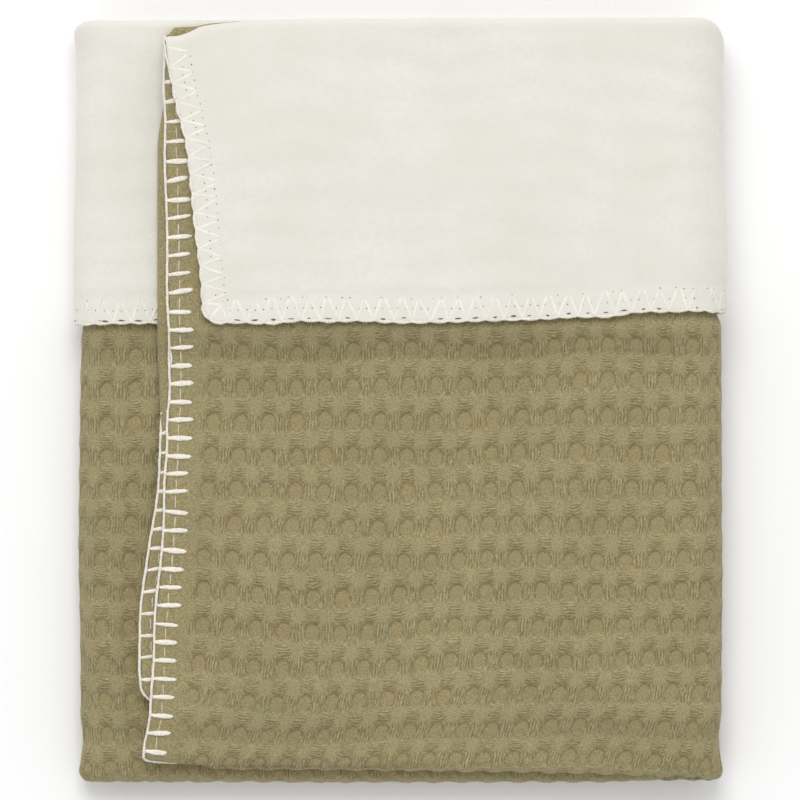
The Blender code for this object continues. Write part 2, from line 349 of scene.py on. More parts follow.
def waffle_relief(u, v):
    """The height of the cloth's surface from its middle level: round pits with a groove at their rim, domed
    pads between them, and flat bundles of floats beside and above each pit."""
    column, row = np.round(u), np.round(v)
    from_pit = np.hypot(u - column, (v - row) * 0.94)
    from_pad = np.hypot(0.5 - np.abs(u - column), 0.5 - np.abs(v - row))
    uneven = 1 + 0.16 * np.sin(column * 12.9898 + row * 78.233) * np.cos(column * 4.1 - row * 7.7)
    pit = smooth((0.325 - from_pit) / 0.10)
    dome = np.cos(math.pi * np.clip(from_pit / 0.26, 0, 1) / 2)
    groove = np.exp(-(((from_pit - 0.255) / 0.045) ** 2))
    pad = np.exp(-((from_pad / 0.25) ** 4))
    return MM * uneven * (0.10 - 0.58 * pit + 0.20 * dome - 0.12 * groove + 0.30 * pad)


def outer_face(line):
    """The distance of the face cloth's outer surface from the line, and how far its cells have formed."""
    u, v = cells(line)
    formed = smooth((line.rim / MM - PLAIN_RIM) / 5.5)
    pressed = (line.row < 4) * smooth((line.y / MM - PRESSED_FROM) / 6) + (line.row >= 4)
    # Bent round the bottom fold, the cells stand out more and scallop its edge.
    relief = waffle_relief(u, v) * (1 + 0.9 * np.sin(math.pi * np.clip(line.row - 3, 0, 1)))
    rounding = np.sqrt(1 - (1 - np.clip(line.rim / (1.3 * MM), 0, 1)) ** 2)
    body = GAP / 2 + np.maximum(FACE_THICKNESS * rounding, 0.1 * MM)
    return body + relief * formed * (1 - 0.5 * pressed), u, v, formed


def spaced(start, end, step):
    """Even stations from start to end, about this far apart."""
    return np.linspace(start, end, max(2, int(round(abs(end - start) / step)) + 1))


def joined(*runs):
    """Runs of stations as one, without the ones that meet."""
    stations = np.concatenate(runs)
    return stations[np.concatenate([[True], np.abs(np.diff(stations)) > 1e-7])]


def sparse(count, keep):
    """Every so many of the stations, and always the last."""
    marks = list(range(0, count - 1, keep))
    if len(marks) > 1 and count - 1 - marks[-1] < keep / 2:
        marks.pop()
    return np.array([*marks, count - 1])


def border(fine, coarse, marks):
    """The triangles between a fine border and a coarse one, which meets it at the marks."""
    faces = []
    for k in range(len(coarse) - 1):
        a, b = marks[k], marks[k + 1]
        middle = (a + b) // 2
        faces += [(fine[i], fine[i + 1], coarse[k]) for i in range(a, middle)]
        faces.append((fine[middle], coarse[k + 1], coarse[k]))
        faces += [(fine[i], fine[i + 1], coarse[k + 1]) for i in range(middle, b)]
    return faces


def quads(ids):
    return np.stack([ids[:-1, :-1], ids[1:, :-1], ids[1:, 1:], ids[:-1, 1:]], axis=-1).reshape(-1, 4)


def shell(travel, row, outer, inner, keep=5):
    """A closed piece of cloth: one surface fine, and the hidden one coarse, which keeps one station in so
    many. Each of outer and inner gives the offset from the line. Returns its points, its faces, and each
    point's cell coordinates and formed share."""
    line = Line(travel, row)
    offset, u, v, formed = outer(line)
    cols, rows = sparse(len(travel), keep), sparse(len(row), keep)
    meet = np.ix_(cols, rows)
    back = Line(np.asarray(travel)[cols], np.asarray(row)[rows])
    points = np.concatenate([line.place(offset).reshape(-1, 3), back.place(inner(back)).reshape(-1, 3)])
    ids = np.arange(offset.size).reshape(offset.shape)
    lower = offset.size + np.arange(len(cols) * len(rows)).reshape(len(cols), len(rows))
    faces = quads(ids).tolist() + quads(lower)[:, ::-1].tolist()
    n, m = len(cols) - 1, len(rows) - 1
    faces += border(ids[::-1, 0].tolist(), lower[::-1, 0].tolist(), (ids.shape[0] - 1 - cols[::-1]).tolist())
    faces += border(ids[:, -1].tolist(), lower[:, m].tolist(), cols.tolist())
    faces += border(ids[0, :].tolist(), lower[0, :].tolist(), rows.tolist())
    faces += border(ids[-1, ::-1].tolist(), lower[n, ::-1].tolist(), (ids.shape[1] - 1 - rows[::-1]).tolist())
    values = [np.concatenate([a.ravel(), a[meet].ravel()]) for a in (u, v, formed)]
    return points, faces, values


def signed_volume(points, faces):
    total = 0.0
    for size in (3, 4):
        f = np.array([face for face in faces if len(face) == size])
        if len(f):
            a = points[f[:, 0]]
            for k in range(1, size - 1):
                total += np.einsum("ij,ij->", a, np.cross(points[f[:, k]], points[f[:, k + 1]])) / 6
    return total


def cloth_piece(name, shells, material):
    """One object of these shells, with the cell coordinates as its UV map."""
    points, faces, values, start = [], [], [], 0
    for place, face, value in shells:
        if signed_volume(place, face) < 0:
            face = [f[::-1] for f in face]
        faces += [tuple(i + start for i in f) for f in face]
        points.append(place)
        values.append(value)
        start += len(place)
    u, v, formed = (np.concatenate(column) for column in zip(*values))
    mesh = bpy.data.meshes.new(name)
    mesh.from_pydata(np.concatenate(points), [], faces)
    corner = np.zeros(len(mesh.loops), np.int32)
    mesh.loops.foreach_get("vertex_index", corner)
    layer = mesh.uv_layers.new(name="cells")
    layer.uv.foreach_set("vector", np.stack([u, v], axis=-1)[corner].astype(np.float32).ravel())
    share = mesh.attributes.new("formed", "FLOAT", "POINT")
    share.data.foreach_set("value", formed.astype(np.float32))
    mesh.shade_smooth()
    mesh.set_sharp_from_angle(angle=math.radians(75))
    mesh.materials.append(material)
    mesh.update()
    piece = bpy.data.objects.new(name, mesh)
    bpy.context.scene.collection.objects.link(piece)
    return piece


def stations(lengths, *runs):
    """Stations in runs, each ready made or given as its start, end and step in millimetres."""
    made = [spaced(run[0], run[1], run[2] / lengths[int(min(run[:2]))]) if isinstance(run, tuple) else run
            for run in runs]
    return joined(*made)


def edge_stations(length):
    """Stations beside a free edge, closer together where the cloth's edge is rounded."""
    return np.array([0, 0.12, 0.35, 0.7, 1.1, 1.7]) / length


def face_inner(line):
    return np.full_like(line.y, GAP / 2)


class Signal:
    """A value in a node tree. Plain arithmetic on it makes the nodes for it."""

    def __init__(self, nodes, socket):
        self.nodes, self.socket = nodes, socket

    def __add__(self, other):
        return self.nodes.math("ADD", self, other)

    def __sub__(self, other):
        return self.nodes.math("SUBTRACT", self, other)

    def __rsub__(self, other):
        return self.nodes.math("SUBTRACT", other, self)

    def __mul__(self, other):
        return self.nodes.math("MULTIPLY", self, other)

    def __truediv__(self, other):
        return self.nodes.math("DIVIDE", self, other)

    __radd__, __rmul__ = __add__, __mul__


class Nodes:
    """A small notation for the nodes of a material or of a sewing tree."""

    def __init__(self, tree):
        self.tree = tree

    def add(self, kind, inputs=(), **settings):
        node = self.tree.nodes.new(kind)
        for key, value in settings.items():
            setattr(node, key, value)
        for key, value in dict(inputs).items():
            if isinstance(value, Signal):
                self.tree.links.new(value.socket, node.inputs[key])
            else:
                node.inputs[key].default_value = value
        return node

    def new(self, kind, inputs=(), output=0, **settings):
        return Signal(self, self.add(kind, inputs, **settings).outputs[output])

    def math(self, operation, *values):
        return self.new("ShaderNodeMath", dict(enumerate(values)), operation=operation)

    def positive(self, value):
        return self.math("MAXIMUM", value, 0.0)

    def vector(self, x, y, z):
        return self.new("ShaderNodeCombineXYZ", {0: x, 1: y, 2: z})

    def split(self, vector):
        return [Signal(self, socket) for socket in self.add("ShaderNodeSeparateXYZ", {0: vector}).outputs]

    def ramp(self, value, low, high, start=0.0, end=1.0):
        """A smooth step from start, where the value is low, to end, where it is high."""
        return self.new("ShaderNodeMapRange", {0: value, 1: low, 2: high, 3: start, 4: end},
                        interpolation_type="SMOOTHSTEP")

    def blend(self, share, first, second, kind="MIX"):
        return self.new("ShaderNodeMix", {0: share, 6: first, 7: second}, 2, data_type="RGBA", blend_type=kind)

    def noise(self, place, scale, detail=2.0, rough=0.5):
        inputs = {"Vector": place, "Scale": scale, "Detail": detail, "Roughness": rough}
        return self.new("ShaderNodeTexNoise", inputs, "Fac")


class Finish(Nodes):
    """A new material, with these values on its shader's own sockets."""

    def __init__(self, name, values):
        self.material = bpy.data.materials.new(name)
        self.material.use_nodes = True
        super().__init__(self.material.node_tree)
        self.shader = self.tree.nodes["Principled BSDF"]
        for key, value in values.items():
            self.shader.inputs[key].default_value = value
        self.place = self.new("ShaderNodeTexCoord", output="Object")

    def toned(self, colour, tone):
        """The colour, this much lighter or darker."""
        grey = self.new("ShaderNodeCombineColor", {0: tone, 1: tone, 2: tone})
        return self.blend(1.0, colour, grey, "MULTIPLY")

    def covered(self, colour, height, strength, depth):
        """The material with this colour and fine relief on its shader."""
        relief = self.new("ShaderNodeBump", {"Strength": strength, "Distance": depth, "Height": height})
        self.tree.links.new(colour.socket, self.shader.inputs["Base Color"])
        self.tree.links.new(relief.socket, self.shader.inputs["Normal"])
        return self.material


def waffle_material():
    """Matte olive cotton. Floats of yarn run from pad to pad beside and above each pit, threads fan out
    round the pads, and the pits and pads are plain weave. Painted shade darkens the pits, their upper rims,
    the gaps between threads and the threads above each pit; painted highlights lighten the pads, the threads
    and the threads below each pit."""
    n = Finish("waffle cotton", {"Roughness": 0.95, "Specular IOR Level": 0.2, "Sheen Weight": 0.22,
                                 "Sheen Roughness": 0.5, "Sheen Tint": (0.75, 0.72, 0.55, 1.0)})
    cell_u, cell_v, _ = n.split(n.new("ShaderNodeUVMap", uv_map="cells"))
    formed = n.new("ShaderNodeAttribute", output="Fac", attribute_name="formed")
    wobble = n.noise(n.place, 300.0) - 0.5
    u, v = 0.12 * wobble + cell_u, -0.10 * wobble + cell_v
    over, up = n.math("WRAP", u, 0.5, -0.5), n.math("WRAP", v, 0.5, -0.5)
    aside, above = n.math("ABSOLUTE", over), n.math("ABSOLUTE", up)
    to_side, to_top = 0.5 - aside, 0.5 - above
    from_pit = n.math("SQRT", aside * aside + above * above)
    from_pad = n.math("SQRT", to_side * to_side + to_top * to_top)

    def threads(across, along, third=0.0):
        """Uneven, broken threads lying along one way: 1 on a thread and 0 between two."""
        return n.ramp(n.noise(n.vector(across, along, third), 1.0, 1.5, 0.7), 0.38, 0.62)

    def lines(value, count):
        return 0.5 * n.math("SINE", 2 * math.pi * count * value) + 0.5

    upright = n.ramp(aside, 0.25, 0.33) * n.ramp(above, 0.31, 0.19)
    level_floats = n.ramp(above, 0.25, 0.32) * n.ramp(aside, 0.31, 0.19)
    pit, pad = n.ramp(from_pit, 0.28, 0.18), n.ramp(from_pad, 0.30, 0.18)
    fan = n.positive(1.0 - (upright + level_floats + (pit + pad)))
    bowed = -0.55 * over * over + v
    east = to_side * n.math("SIGN", over) / (from_pad + 0.02)
    north = to_top * n.math("SIGN", up) / (from_pad + 0.02)
    rays = threads(5.6 * east, 5.6 * north, 2.2 * v)
    columns = 0.55 * threads(17.0 * u, 3.6 * v) + 0.45 * lines(u, 9.6)
    rows = 0.5 * threads(3.4 * u, 20.0 * bowed) + 0.5 * lines(bowed, 12.4)
    strands = (upright * columns + level_floats * rows + 0.5 * fan * rays) * formed
    # The gaps between the threads are painted shade.
    thread_gap_shade = n.positive((upright + level_floats + 0.5 * fan) * formed - strands)
    # The threads just above a pit lie in its shade, and those just below it catch the light.
    shaded = n.math("SINE", 2 * math.pi * up) * n.ramp(aside, 0.38, 0.14) * formed * n.ramp(above, 0.12, 0.26)
    # The upper rim of each pit is painted dark, as the crescent of shade left by light from above.
    pit_rim_shade = n.ramp(from_pit, 0.215, 0.255) * n.ramp(from_pit, 0.315, 0.265) * n.ramp(up, -0.25, 0.25, 0.50, 0.95)
    grain = n.noise(n.place, 1700.0, 3.0, 0.75)

    olive, green = (0.302, 0.252, 0.130, 1.0), (0.283, 0.251, 0.133, 1.0)
    # The darkest tint is painted shade, and the brightest one a painted highlight.
    painted_shade_tint, painted_highlight_tint = (0.150, 0.116, 0.046, 1.0), (0.440, 0.385, 0.222, 1.0)
    pale, pit_shade_tint = (0.322, 0.274, 0.147, 1.0), (0.285, 0.233, 0.114, 1.0)
    colour = n.blend(n.ramp(n.noise(n.place, 75.0, 2.0), 0.42, 0.62), olive, green)
    for share, tint in (
        # The raised pads are painted lighter, as lit tops, and the pits darker, as painted shade in their hollows.
        (0.6 * pad * formed, pale),
        (0.6 * pit * formed, pit_shade_tint),
        # The threads are painted lighter, as a highlight on their lit crowns.
        (0.58 * strands, painted_highlight_tint),
        # Painted shade between the threads.
        (0.72 * thread_gap_shade, painted_shade_tint),
        (0.14 * n.positive(shaded), painted_shade_tint),
        (0.22 * n.positive(-1.0 * shaded), painted_highlight_tint),
        (0.52 * pit_rim_shade * formed, painted_shade_tint),
    ):
        colour = n.blend(share, colour, tint)
    fuzz = n.ramp(grain, 0.34, 0.66, 0.77, 1.23)
    # Near the rim, where no cells form, the plain weave shows as a coarser grain.
    plain = n.ramp(n.noise(n.place, 1050.0, 1.0), 0.36, 0.64, 0.89, 1.11)
    patch = n.ramp(n.noise(n.place, 28.0), 0.3, 0.7, 0.96, 1.04)
    colour = n.toned(colour, fuzz * (formed + (1.0 - formed) * plain) * patch)
    return n.covered(colour, strands + 0.7 * grain, 0.6, 0.35 * MM)


waffle_cotton = waffle_material()

# About how long each part of the wrap and of the path is, in millimetres. The surfaces that show are fine
# enough for the cells, and those that other cloth hides are coarser.
WRAP_LENGTHS = (205, 47.8, 220, 32.4, 207)
PATH_LENGTHS = (115, 14, 290, 14, 286, 10.2, 265)
BAND_HIDES = 2.372  # the row of the top ply that lies just under the band's hem
JUST_PAST_FOLD = 4.024
INNER_SEEN = 4.24  # how far the inner flap may be seen from the left
flap = edge_stations(WRAP_LENGTHS[0])
front_travel = stations(WRAP_LENGTHS, flap, (flap[-1], 1, 0.74), (1, 2, 0.74))
front_row = stations(PATH_LENGTHS, (BAND_HIDES, 3, 0.88), (3, 4, 0.85), (4, JUST_PAST_FOLD, 1.5))
back_travel = stations(WRAP_LENGTHS, (2, 3, 1.5), (3, 4, 0.8), (4, INNER_SEEN, 0.8))
within_travel = stations(WRAP_LENGTHS, flap, (flap[-1], 1, 2.4), (1, 2, 1.6), (2, 3, 3.0), (3, 4, 1.6), (4, 5, 2.6))
hem_stations = edge_stations(PATH_LENGTHS[0])
tucked_end = 7.0 - edge_stations(PATH_LENGTHS[6])[::-1]
band_row = stations(PATH_LENGTHS, hem_stations, (hem_stations[-1], 1, 5.0), (1, 2, 3.5), (2, BAND_HIDES, 4.0))
under_row = stations(PATH_LENGTHS, (JUST_PAST_FOLD, 5, 5.0), (5, 6, 0.8), (6, tucked_end[0], 3.5), tucked_end)
inner_travel = stations(WRAP_LENGTHS, (INNER_SEEN, 5, 1.5))
inner_row = stations(PATH_LENGTHS, (BAND_HIDES, 3, 4.0), (3, 4, 1.1), (4, JUST_PAST_FOLD, 3.4))

face_front = cloth_piece("waffle_face_front", [shell(front_travel, front_row, outer_face, face_inner)], waffle_cotton)
face_back = cloth_piece("waffle_face_back", [shell(back_travel, front_row, outer_face, face_inner)], waffle_cotton)
face_within = cloth_piece(
    "waffle_face_within",
    [
        shell(within_travel, band_row, outer_face, face_inner, 3),
        shell(within_travel, under_row, outer_face, face_inner, 3),
        shell(inner_travel, inner_row, outer_face, face_inner, 3),
    ],
    waffle_cotton,
)

for piece in (face_front, face_back, face_within):
    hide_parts("waffle_face")
    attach(piece, "root")

# --------------------
# Brushed lining.
# Off-white cotton cut to the same size, its nap raised by brushing. It lies behind the face cloth in every
# ply, and shows on the end that is turned down as a band.
# --------------------


# In millimetres from the rim: the crease beside the sewing, and how far in the lining shows no ripple.
SEWN_CREASE, FLAT_RIM = 10.4, 9


def lining_outer(line):
    """The lining's outer surface, on the far side of the line, softly rippled by the cells behind it."""
    u, v = cells(line)
    rounding = np.sqrt(1 - (1 - np.clip(line.rim / (1.1 * MM), 0, 1)) ** 2)
    x, y = line.across / MM, line.along / MM
    bent = v + 0.22 * np.sin(x / 17 + y / 40) + 0.12 * np.sin(x / 7.3 - y / 15)
    strength = 0.13 * (1 + 0.7 * np.sin(x / 29 + 1.1) * np.sin(y / 19 + x / 71))
    ripple = strength * np.cos(2 * math.pi * bent) + 0.03 * np.cos(2 * math.pi * u)
    ripple = ripple + 0.16 * np.sin(x / 41 + y / 17 + 0.8) * np.sin(x / 26 - y / 31)
    crease = 0.30 * np.exp(-(((line.rim / MM - SEWN_CREASE) / 1.5) ** 2)) * (line.row < 1.0)
    formed = smooth((line.rim / MM - FLAT_RIM) / 5)
    body = GAP / 2 + np.maximum(LINING_THICKNESS * rounding, 0.1 * MM)
    return -(body + (ripple * formed - crease) * MM), u, v, formed


def lining_inner(line):
    return np.full_like(line.y, -GAP / 2)


def lining_material():
    """Off-white cotton with a short brushed nap."""
    n = Finish("brushed lining", {"Roughness": 0.97, "Specular IOR Level": 0.15, "Sheen Weight": 0.35,
                                  "Sheen Roughness": 0.6, "Sheen Tint": (1.0, 0.98, 0.94, 1.0)})
    nap = n.noise(n.place, 420.0, 3.0, 0.65)
    cloud = n.ramp(n.noise(n.place, 30.0, 3.0), 0.3, 0.7)
    colour = n.blend(cloud, (0.700, 0.680, 0.615, 1.0), (0.737, 0.720, 0.660, 1.0))
    colour = n.blend(n.ramp(nap, 0.62, 0.34, 0.0, 0.25), colour, (0.66, 0.63, 0.55, 1.0))
    fibres = nap + 0.5 * n.noise(n.place, 1600.0, 2.0, 0.6)
    return n.covered(colour, fibres, 0.35, 0.4 * MM)


brushed_lining = lining_material()
BAND_ENDS = 2.03  # just round the top fold, where the hidden lining goes on
lining_travel = stations(WRAP_LENGTHS, flap, (flap[-1], 1, 2.0), (1, 2, 1.5), (2, 3, 3.0), (3, 4, 1.4), (4, 5, 2.4))
lining_hem = np.array([0.15, 0.3, 0.55, 0.9, 1.3, 2.0]) / PATH_LENGTHS[0]
lining_band_row = stations(PATH_LENGTHS, lining_hem, (lining_hem[-1], 1, 1.5), (1, 2, 1.4), (2, BAND_ENDS, 2.9))
lining_within_row = stations(PATH_LENGTHS, (BAND_ENDS, 3, 6.0), (3, 4, 2.8), (4, 5, 6.0), (5, 6, 2.55), (6, 7, 6.0))
lining_band = cloth_piece("lining_band", [shell(lining_travel, lining_band_row, lining_outer, lining_inner, 3)],
                          brushed_lining)
lining_within = cloth_piece("lining_within", [shell(within_travel, lining_within_row, lining_outer, lining_inner, 3)],
                            brushed_lining)

for piece in (lining_band, lining_within):
    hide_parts("lining")
    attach(piece, "root")

# --------------------
# Edge yarn.
# One thick ivory cotton yarn of three strands, laid along the cut rim of both cloths and caught there by every
# blanket stitch. Between two stitches it bows out a little.
# --------------------

STITCH = 7.2 * MM
TOP_COUNT, TUCKED_COUNT = 37, 15  # the stitches that show on each ply
# Where the stitches lie on the front flap's free edge, counted down from the top: on the top ply and on the
# tucked one, in millimetres up the blanket.
TOP_STITCHES = ((-1, 138.5), (0, 132.2), (6, 85.5), (13, 34.5), (23, -36.1), (27, -66.3), (37, -138.0), (38, -143.2))
TUCKED_STITCHES = ((-21, 143.0), (0, -5.5), (3, -28.6), (7, -58.4), (14, -118.4))
BAND_LENGTH = 114.0 * MM
HEM_SEEN = 4.3  # how far round the wrap the hem's sewing goes


class Rim:
    """The sewn rim, followed from the tucked ply's end up its free edge, round every fold to the hem, and
    along the hem. It gives places at a stitch number and a depth in from the rim."""

    def __init__(self):
        rows = stations(PATH_LENGTHS, *((k + 1, k, 0.405 if k % 2 else 0.5) for k in range(6, -1, -1)))
        start, hem = stations(WRAP_LENGTHS, (0.06, 0, 0.5)), spaced(0.0, HEM_SEEN, 0.5 / 120)[1:]
        self.runs = start, rows[1:], hem
        self.travel = np.concatenate([start, 0 * rows[1:], hem])
        self.row = np.concatenate([0 * start + 7.0, rows[1:], 0 * hem])
        self.middle = self.points(0.0)
        self.length = np.concatenate([[0], np.cumsum(np.linalg.norm(np.diff(self.middle, axis=0), axis=1))])
        self.number = np.interp(self.length, *self.stitches())

    def points(self, offset):
        """The points all along the rim at this distance from the line midway between the cloths."""
        start, rows, hem = self.runs
        return np.concatenate([Line(start, [7.0]).place(offset)[:, 0], Line([0.0], rows).place(offset)[0],
                               Line(hem, [0.0]).place(offset)[:, 0]])

    def at_row(self, row):
        """The distance along the rim of a row of the free edge, for stitches whose places are listed."""
        edge = (self.travel == 0) & (np.diff(self.row, prepend=8) <= 0)
        return np.interp(-np.asarray(row), -self.row[edge], self.length[edge])

    def stitches(self):
        """The distance along the rim of every stitch, and its number."""
        placed = []
        for table, first_row, last_row, count in ((TUCKED_STITCHES, 7, 6, range(TUCKED_COUNT - 1, -21, -1)),
                                                  (TOP_STITCHES, 3, 2, range(TOP_COUNT, -1, -1))):
            leg = (self.travel == 0) & (self.row <= first_row) & (self.row >= last_row)
            up = self.middle[leg, 1] / MM
            numbers, heights = zip(*table)
            at = np.interp(list(count), numbers, heights)
            order = np.argsort(up)
            placed.append(np.interp(at, up[order], self.length[leg][order]))
        runs = [placed[0][:1] * 0, placed[0]]
        gap = placed[1][0] - placed[0][-1]
        runs.append(np.linspace(placed[0][-1], placed[1][0], int(round(gap / STITCH)) + 1)[1:-1])
        runs.append(placed[1])
        rest = self.length[-1] - placed[1][-1]
        count = int(round(rest / STITCH))
        runs.append(placed[1][-1] + rest / (count - 0.35) * np.arange(1, count))
        at = np.concatenate(runs)
        self.top_number = 1 + len(placed[0]) + len(runs[2])
        self.tucked_number = 1
        return at, np.arange(len(at), dtype=float)

    def inside(self, number, depth):
        """The travel and row of a place this far in from the rim at a stitch number."""
        at = np.interp(number, self.number, self.length)
        travel, row = np.interp(at, self.length, self.travel), np.interp(at, self.length, self.row)
        near = Line([travel], [row])
        if row > 1:
            turn = (1.0, 0.0)
        else:
            short = np.clip(CORNER_RADIUS - near.run[0, 0], 0, CORNER_RADIUS) / CORNER_RADIUS
            turn = (math.sqrt(1 - short**2), short) if travel <= 0 else (0.0, 1.0)
        row_in = row + depth * turn[1] / BAND_LENGTH
        if travel < 1:
            there = Line([travel], [row_in])
            right = flat_ends(there.y)[0][0, 0]
            travel = (near.across[0, 0] + depth * turn[0] - there.edge[0, 0]) / (right - there.edge[0, 0])
        return max(travel, 0.0), row_in


rim = Rim()


def named_inputs(n, **sockets):
    """Gives a tree its named inputs, with these kinds and values, and one geometry output."""
    for name, (kind, value) in sockets.items():
        socket = n.tree.interface.new_socket(name, in_out="INPUT", socket_type=f"NodeSocket{kind}")
        if value is not None:
            socket.default_value = value
    n.tree.interface.new_socket("Sewing", in_out="OUTPUT", socket_type="NodeSocketGeometry")
    return {socket.name: Signal(n, socket) for socket in n.add("NodeGroupInput").outputs}


def finished(n, sewing, material):
    """Presses yarn that meets the ground flat on it, and makes it all plain smooth faces of one material."""
    x, y, z = n.split(n.new("GeometryNodeInputPosition"))
    sewing = n.new("GeometryNodeSetPosition", {"Geometry": sewing, "Position": n.vector(x, y, n.positive(z))})
    sewing = n.new("GeometryNodeSetShadeSmooth", {"Geometry": sewing})
    sewing = n.new("GeometryNodeRealizeInstances", {"Geometry": sewing})
    sewing = n.new("GeometryNodeSetMaterial", {"Geometry": sewing, "Material": material})
    n.add("NodeGroupOutput", {"Sewing": sewing})
    return n.tree


def yarn_tree():
    """Lays a twisted yarn along a path of points, its thickness times the path's own fullness."""
    n = Nodes(bpy.data.node_groups.new("yarn along a path", "GeometryNodeTree"))
    given = named_inputs(n, Path=("Geometry", None), Thickness=("Float", 1.3 * MM), Strands=("Int", 3),
                         Points_round=("Int", 12), Groove=("Float", 0.14), Turn_length=("Float", 3.2 * MM),
                         Step=("Float", 0.7 * MM), Unevenness=("Float", 0.12), Seed=("Int", 1),
                         Material=("Material", None))
    path = n.new("GeometryNodeMeshToCurve", {"Mesh": given["Path"]})
    path = n.new("GeometryNodeResampleCurve", {"Curve": path, "Length": given["Step"]}, mode="LENGTH")
    twist = n.new("GeometryNodeSplineParameter", output="Length") / given["Turn_length"] * (2 * math.pi)
    path = n.new("GeometryNodeSetCurveTilt", {"Curve": path, "Tilt": twist})
    full = n.new("GeometryNodeInputNamedAttribute", {"Name": "fullness"}, data_type="FLOAT")
    position = n.new("GeometryNodeInputPosition")
    noise = n.new("ShaderNodeTexNoise", {"Vector": position, "W": given["Seed"], "Scale": 520.0, "Detail": 1.0},
                  "Fac", noise_dimensions="4D")
    uneven = (noise - 0.5) * (given["Unevenness"] * 4.0) + 1.0
    profile = n.new("GeometryNodeCurvePrimitiveCircle", {"Resolution": given["Points_round"], "Radius": 1.0})
    x, y, _ = n.split(position)
    lobes = n.math("COSINE", n.math("ARCTAN2", y, x) * given["Strands"]) * given["Groove"] + 1.0
    place = n.new("ShaderNodeVectorMath", {0: position, 3: given["Thickness"] * 0.5 * lobes}, operation="SCALE")
    profile = n.new("GeometryNodeSetPosition", {"Geometry": profile, "Position": place})
    yarn = n.new("GeometryNodeCurveToMesh", {"Curve": path, "Profile Curve": profile, "Scale": full * uneven,
                                             "Fill Caps": True})
    return finished(n, yarn, given["Material"])


def sewn(name, tree, points, edges, attributes, **inputs):
    """Runs one of the sewing trees over these points, and keeps what it makes as a plain mesh."""
    seat = bpy.data.meshes.new(name + " seat")
    seat.from_pydata(np.asarray(points), edges, [])
    for key, values in attributes.items():
        values = np.asarray(values, np.float32)
        flat = values.ndim == 1
        layer = seat.attributes.new(key, "FLOAT" if flat else "FLOAT_VECTOR", "POINT")
        layer.data.foreach_set("value" if flat else "vector", values.ravel())
    piece = bpy.data.objects.new(name, seat)
    bpy.context.scene.collection.objects.link(piece)
    sewing = piece.modifiers.new("sewing", "NODES")
    sewing.node_group = tree
    sockets = {item.name: item.identifier for item in tree.interface.items_tree if item.in_out == "INPUT"}
    for key, value in inputs.items():
        sewing[sockets[key]] = value
    depsgraph = bpy.context.evaluated_depsgraph_get()
    mesh = bpy.data.meshes.new_from_object(piece.evaluated_get(depsgraph), depsgraph=depsgraph)
    piece.modifiers.remove(sewing)
    piece.data = mesh
    mesh.name = name
    bpy.data.meshes.remove(seat)
    return piece


def yarn_material(name, light, dark, sheen):
    """Soft spun cotton: fine fibres, a little darker between them."""
    n = Finish(name, {"Roughness": 0.9, "Specular IOR Level": 0.25, "Sheen Weight": sheen, "Sheen Roughness": 0.5})
    fibre = n.noise(n.place, 1500.0, 3.0, 0.7)
    colour = n.blend(n.ramp(fibre, 0.36, 0.62), dark, light)
    colour = n.toned(colour, n.ramp(n.noise(n.place, 160.0), 0.3, 0.7, 0.95, 1.03))
    return n.covered(colour, fibre, 0.4, 0.2 * MM)


stitch_yarn = yarn_material("stitch yarn", (0.90, 0.86, 0.78, 1.0), (0.74, 0.69, 0.59, 1.0), 0.25)


def edge_path():
    """The edge yarn's middle: just outside the rim, towards whichever cloth shows, bowed out by stitches."""
    mid = rim.middle
    facing = rim.points(0.1 * MM) - mid
    facing /= np.linalg.norm(facing, axis=1, keepdims=True) + 1e-12
    way = np.gradient(mid, axis=0)
    side = np.cross(way, facing)
    side /= np.linalg.norm(side, axis=1, keepdims=True) + 1e-12
    if side[len(side) // 2, 0] > 0:
        side = -side
    bow = np.sin(math.pi * (rim.number % 1.0))
    hem = smooth((rim.length - rim.at_row(1.0)) / (20 * MM))
    free, rolled = rim.travel == 0, np.zeros(len(mid))
    rolled[free] = Line([0.0], rim.row[free]).curl(mid[free, 1])[0] / (3.4 * MM)
    bottom = np.sin(math.pi * np.clip(rim.row - 3, 0, 1))
    # Proud of the rim towards the face cloth, or along the hem towards the lining, and away from it outwards.
    proud = (0.75 * (1 - hem) - 0.80 * hem - 1.2 * rolled + 0.9 * bottom) * MM
    away = (0.25 + 0.20 * bow * (1 - hem) + (0.30 * bow - 0.62) * hem - 1.7 * rolled) * MM
    wander = 0.24 * MM * np.sin(rim.length / (5.1 * MM) + 2 * np.sin(rim.length / (23 * MM)))
    fullness = (0.88 + 0.32 * (1 - bow) ** 3) * (1 - hem) + (0.72 + 0.50 * bow) * hem
    return mid + side * (away + wander)[:, None] + facing * proud[:, None], fullness


yarn_along = yarn_tree()
path, fullness = edge_path()
edge_yarn = sewn("edge_yarn", yarn_along, path, [(i, i + 1) for i in range(len(path) - 1)], {"fullness": fullness},
                 Thickness=1.28 * MM, Strands=3, Points_round=9, Groove=0.13, Turn_length=3.0 * MM, Step=0.72 * MM,
                 Unevenness=0.14, Seed=3, Material=stitch_yarn)
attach(edge_yarn, "root")

# --------------------
# Blanket stitches on the face.
# The same ivory yarn, drawn in over the face cloth from the edge yarn to the needle's hole and fullest midway,
# with a thin tan running stitch between them that holds the two cloths together.
# --------------------


